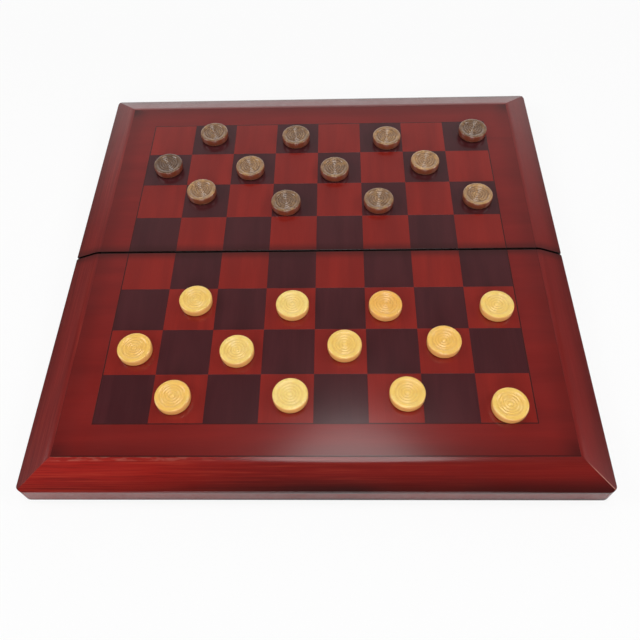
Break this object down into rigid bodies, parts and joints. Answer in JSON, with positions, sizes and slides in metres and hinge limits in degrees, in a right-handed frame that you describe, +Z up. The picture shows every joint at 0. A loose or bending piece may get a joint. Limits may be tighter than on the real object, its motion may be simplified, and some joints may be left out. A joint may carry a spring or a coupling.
{
  "type": "folding game board case",
  "caption": "Folding wooden board game case lying open, checkered playing surface up with bevelled frame, hinged at the middle, round turned checkers standing on it.",
  "frame": {"origin": "middle of the fold between the two halves, on the plane of the rims", "axes": "+Z up out of the playing surface, +X to the right along the fold, +Y from the front half to the back half"},
  "size_m": [0.396, 0.3944, 0.0319],
  "materials": {
    "frame_wood": "satin",
    "border_veneer": "satin",
    "red_veneer": "satin",
    "dark_veneer": "satin",
    "stringing": "satin",
    "panel_core": "matt",
    "felt": "matt",
    "brass": "polished",
    "magnet": "plated",
    "brown_checker": "gloss",
    "light_checker": "gloss"
  },
  "bodies": {
    "front_half": {"front_outer_rail": "frame_wood", "front_left_rail": "frame_wood", "front_right_rail": "frame_wood", "front_hinge_rail": "frame_wood", "front_panel_core": "panel_core", "front_felt_lining": "felt", "front_border_veneer": "border_veneer", "front_stringing": "stringing", "front_magnets": "magnet", "front_dark_squares": "dark_veneer", "front_red_squares": "red_veneer", "left_hinge_front_leaf": "brass", "right_hinge_front_leaf": "brass", "left_hinge_pin": "brass", "right_hinge_pin": "brass"},
    "back_half": {"back_outer_rail": "frame_wood", "back_left_rail": "frame_wood", "back_right_rail": "frame_wood", "back_hinge_rail": "frame_wood", "back_panel_core": "panel_core", "back_felt_lining": "felt", "back_border_veneer": "border_veneer", "back_stringing": "stringing", "back_magnets": "magnet", "back_dark_squares": "dark_veneer", "back_red_squares": "red_veneer", "left_hinge_back_leaf": "brass", "right_hinge_back_leaf": "brass"},
    "brown_piece_01": {"brown_checker_01": "brown_checker"},
    "brown_piece_02": {"brown_checker_02": "brown_checker"},
    "brown_piece_03": {"brown_checker_03": "brown_checker"},
    "brown_piece_04": {"brown_checker_04": "brown_checker"},
    "brown_piece_05": {"brown_checker_05": "brown_checker"},
    "brown_piece_06": {"brown_checker_06": "brown_checker"},
    "brown_piece_07": {"brown_checker_07": "brown_checker"},
    "brown_piece_08": {"brown_checker_08": "brown_checker"},
    "brown_piece_09": {"brown_checker_09": "brown_checker"},
    "brown_piece_10": {"brown_checker_10": "brown_checker"},
    "brown_piece_11": {"brown_checker_11": "brown_checker"},
    "brown_piece_12": {"brown_checker_12": "brown_checker"},
    "light_piece_01": {"light_checker_01": "light_checker"},
    "light_piece_02": {"light_checker_02": "light_checker"},
    "light_piece_03": {"light_checker_03": "light_checker"},
    "light_piece_04": {"light_checker_04": "light_checker"},
    "light_piece_05": {"light_checker_05": "light_checker"},
    "light_piece_06": {"light_checker_06": "light_checker"},
    "light_piece_07": {"light_checker_07": "light_checker"},
    "light_piece_08": {"light_checker_08": "light_checker"},
    "light_piece_09": {"light_checker_09": "light_checker"},
    "light_piece_10": {"light_checker_10": "light_checker"},
    "light_piece_11": {"light_checker_11": "light_checker"},
    "light_piece_12": {"light_checker_12": "light_checker"}
  },
  "joints": [
    {"name": "case_fold", "type": "hinge", "parent": "front_half", "child": "back_half", "pos_m": [0, 0, -0.0002], "axis": [-1, 0, 0], "range_deg": [0, 180]},
    {"name": "lift_brown_01", "type": "slide", "parent": "back_half", "child": "brown_piece_01", "axis": [0, 0, 1], "range_m": [0, 0.06]},
    {"name": "lift_brown_02", "type": "slide", "parent": "back_half", "child": "brown_piece_02", "axis": [0, 0, 1], "range_m": [0, 0.06]},
    {"name": "lift_brown_03", "type": "slide", "parent": "back_half", "child": "brown_piece_03", "axis": [0, 0, 1], "range_m": [0, 0.06]},
    {"name": "lift_brown_04", "type": "slide", "parent": "back_half", "child": "brown_piece_04", "axis": [0, 0, 1], "range_m": [0, 0.06]},
    {"name": "lift_brown_05", "type": "slide", "parent": "back_half", "child": "brown_piece_05", "axis": [0, 0, 1], "range_m": [0, 0.06]},
    {"name": "lift_brown_06", "type": "slide", "parent": "back_half", "child": "brown_piece_06", "axis": [0, 0, 1], "range_m": [0, 0.06]},
    {"name": "lift_brown_07", "type": "slide", "parent": "back_half", "child": "brown_piece_07", "axis": [0, 0, 1], "range_m": [0, 0.06]},
    {"name": "lift_brown_08", "type": "slide", "parent": "back_half", "child": "brown_piece_08", "axis": [0, 0, 1], "range_m": [0, 0.06]},
    {"name": "lift_brown_09", "type": "slide", "parent": "back_half", "child": "brown_piece_09", "axis": [0, 0, 1], "range_m": [0, 0.06]},
    {"name": "lift_brown_10", "type": "slide", "parent": "back_half", "child": "brown_piece_10", "axis": [0, 0, 1], "range_m": [0, 0.06]},
    {"name": "lift_brown_11", "type": "slide", "parent": "back_half", "child": "brown_piece_11", "axis": [0, 0, 1], "range_m": [0, 0.06]},
    {"name": "lift_brown_12", "type": "slide", "parent": "back_half", "child": "brown_piece_12", "axis": [0, 0, 1], "range_m": [0, 0.06]},
    {"name": "lift_light_01", "type": "slide", "parent": "front_half", "child": "light_piece_01", "axis": [0, 0, 1], "range_m": [0, 0.06]},
    {"name": "lift_light_02", "type": "slide", "parent": "front_half", "child": "light_piece_02", "axis": [0, 0, 1], "range_m": [0, 0.06]},
    {"name": "lift_light_03", "type": "slide", "parent": "front_half", "child": "light_piece_03", "axis": [0, 0, 1], "range_m": [0, 0.06]},
    {"name": "lift_light_04", "type": "slide", "parent": "front_half", "child": "light_piece_04", "axis": [0, 0, 1], "range_m": [0, 0.06]},
    {"name": "lift_light_05", "type": "slide", "parent": "front_half", "child": "light_piece_05", "axis": [0, 0, 1], "range_m": [0, 0.06]},
    {"name": "lift_light_06", "type": "slide", "parent": "front_half", "child": "light_piece_06", "axis": [0, 0, 1], "range_m": [0, 0.06]},
    {"name": "lift_light_07", "type": "slide", "parent": "front_half", "child": "light_piece_07", "axis": [0, 0, 1], "range_m": [0, 0.06]},
    {"name": "lift_light_08", "type": "slide", "parent": "front_half", "child": "light_piece_08", "axis": [0, 0, 1], "range_m": [0, 0.06]},
    {"name": "lift_light_09", "type": "slide", "parent": "front_half", "child": "light_piece_09", "axis": [0, 0, 1], "range_m": [0, 0.06]},
    {"name": "lift_light_10", "type": "slide", "parent": "front_half", "child": "light_piece_10", "axis": [0, 0, 1], "range_m": [0, 0.06]},
    {"name": "lift_light_11", "type": "slide", "parent": "front_half", "child": "light_piece_11", "axis": [0, 0, 1], "range_m": [0, 0.06]},
    {"name": "lift_light_12", "type": "slide", "parent": "front_half", "child": "light_piece_12", "axis": [0, 0, 1], "range_m": [0, 0.06]}
  ]
}
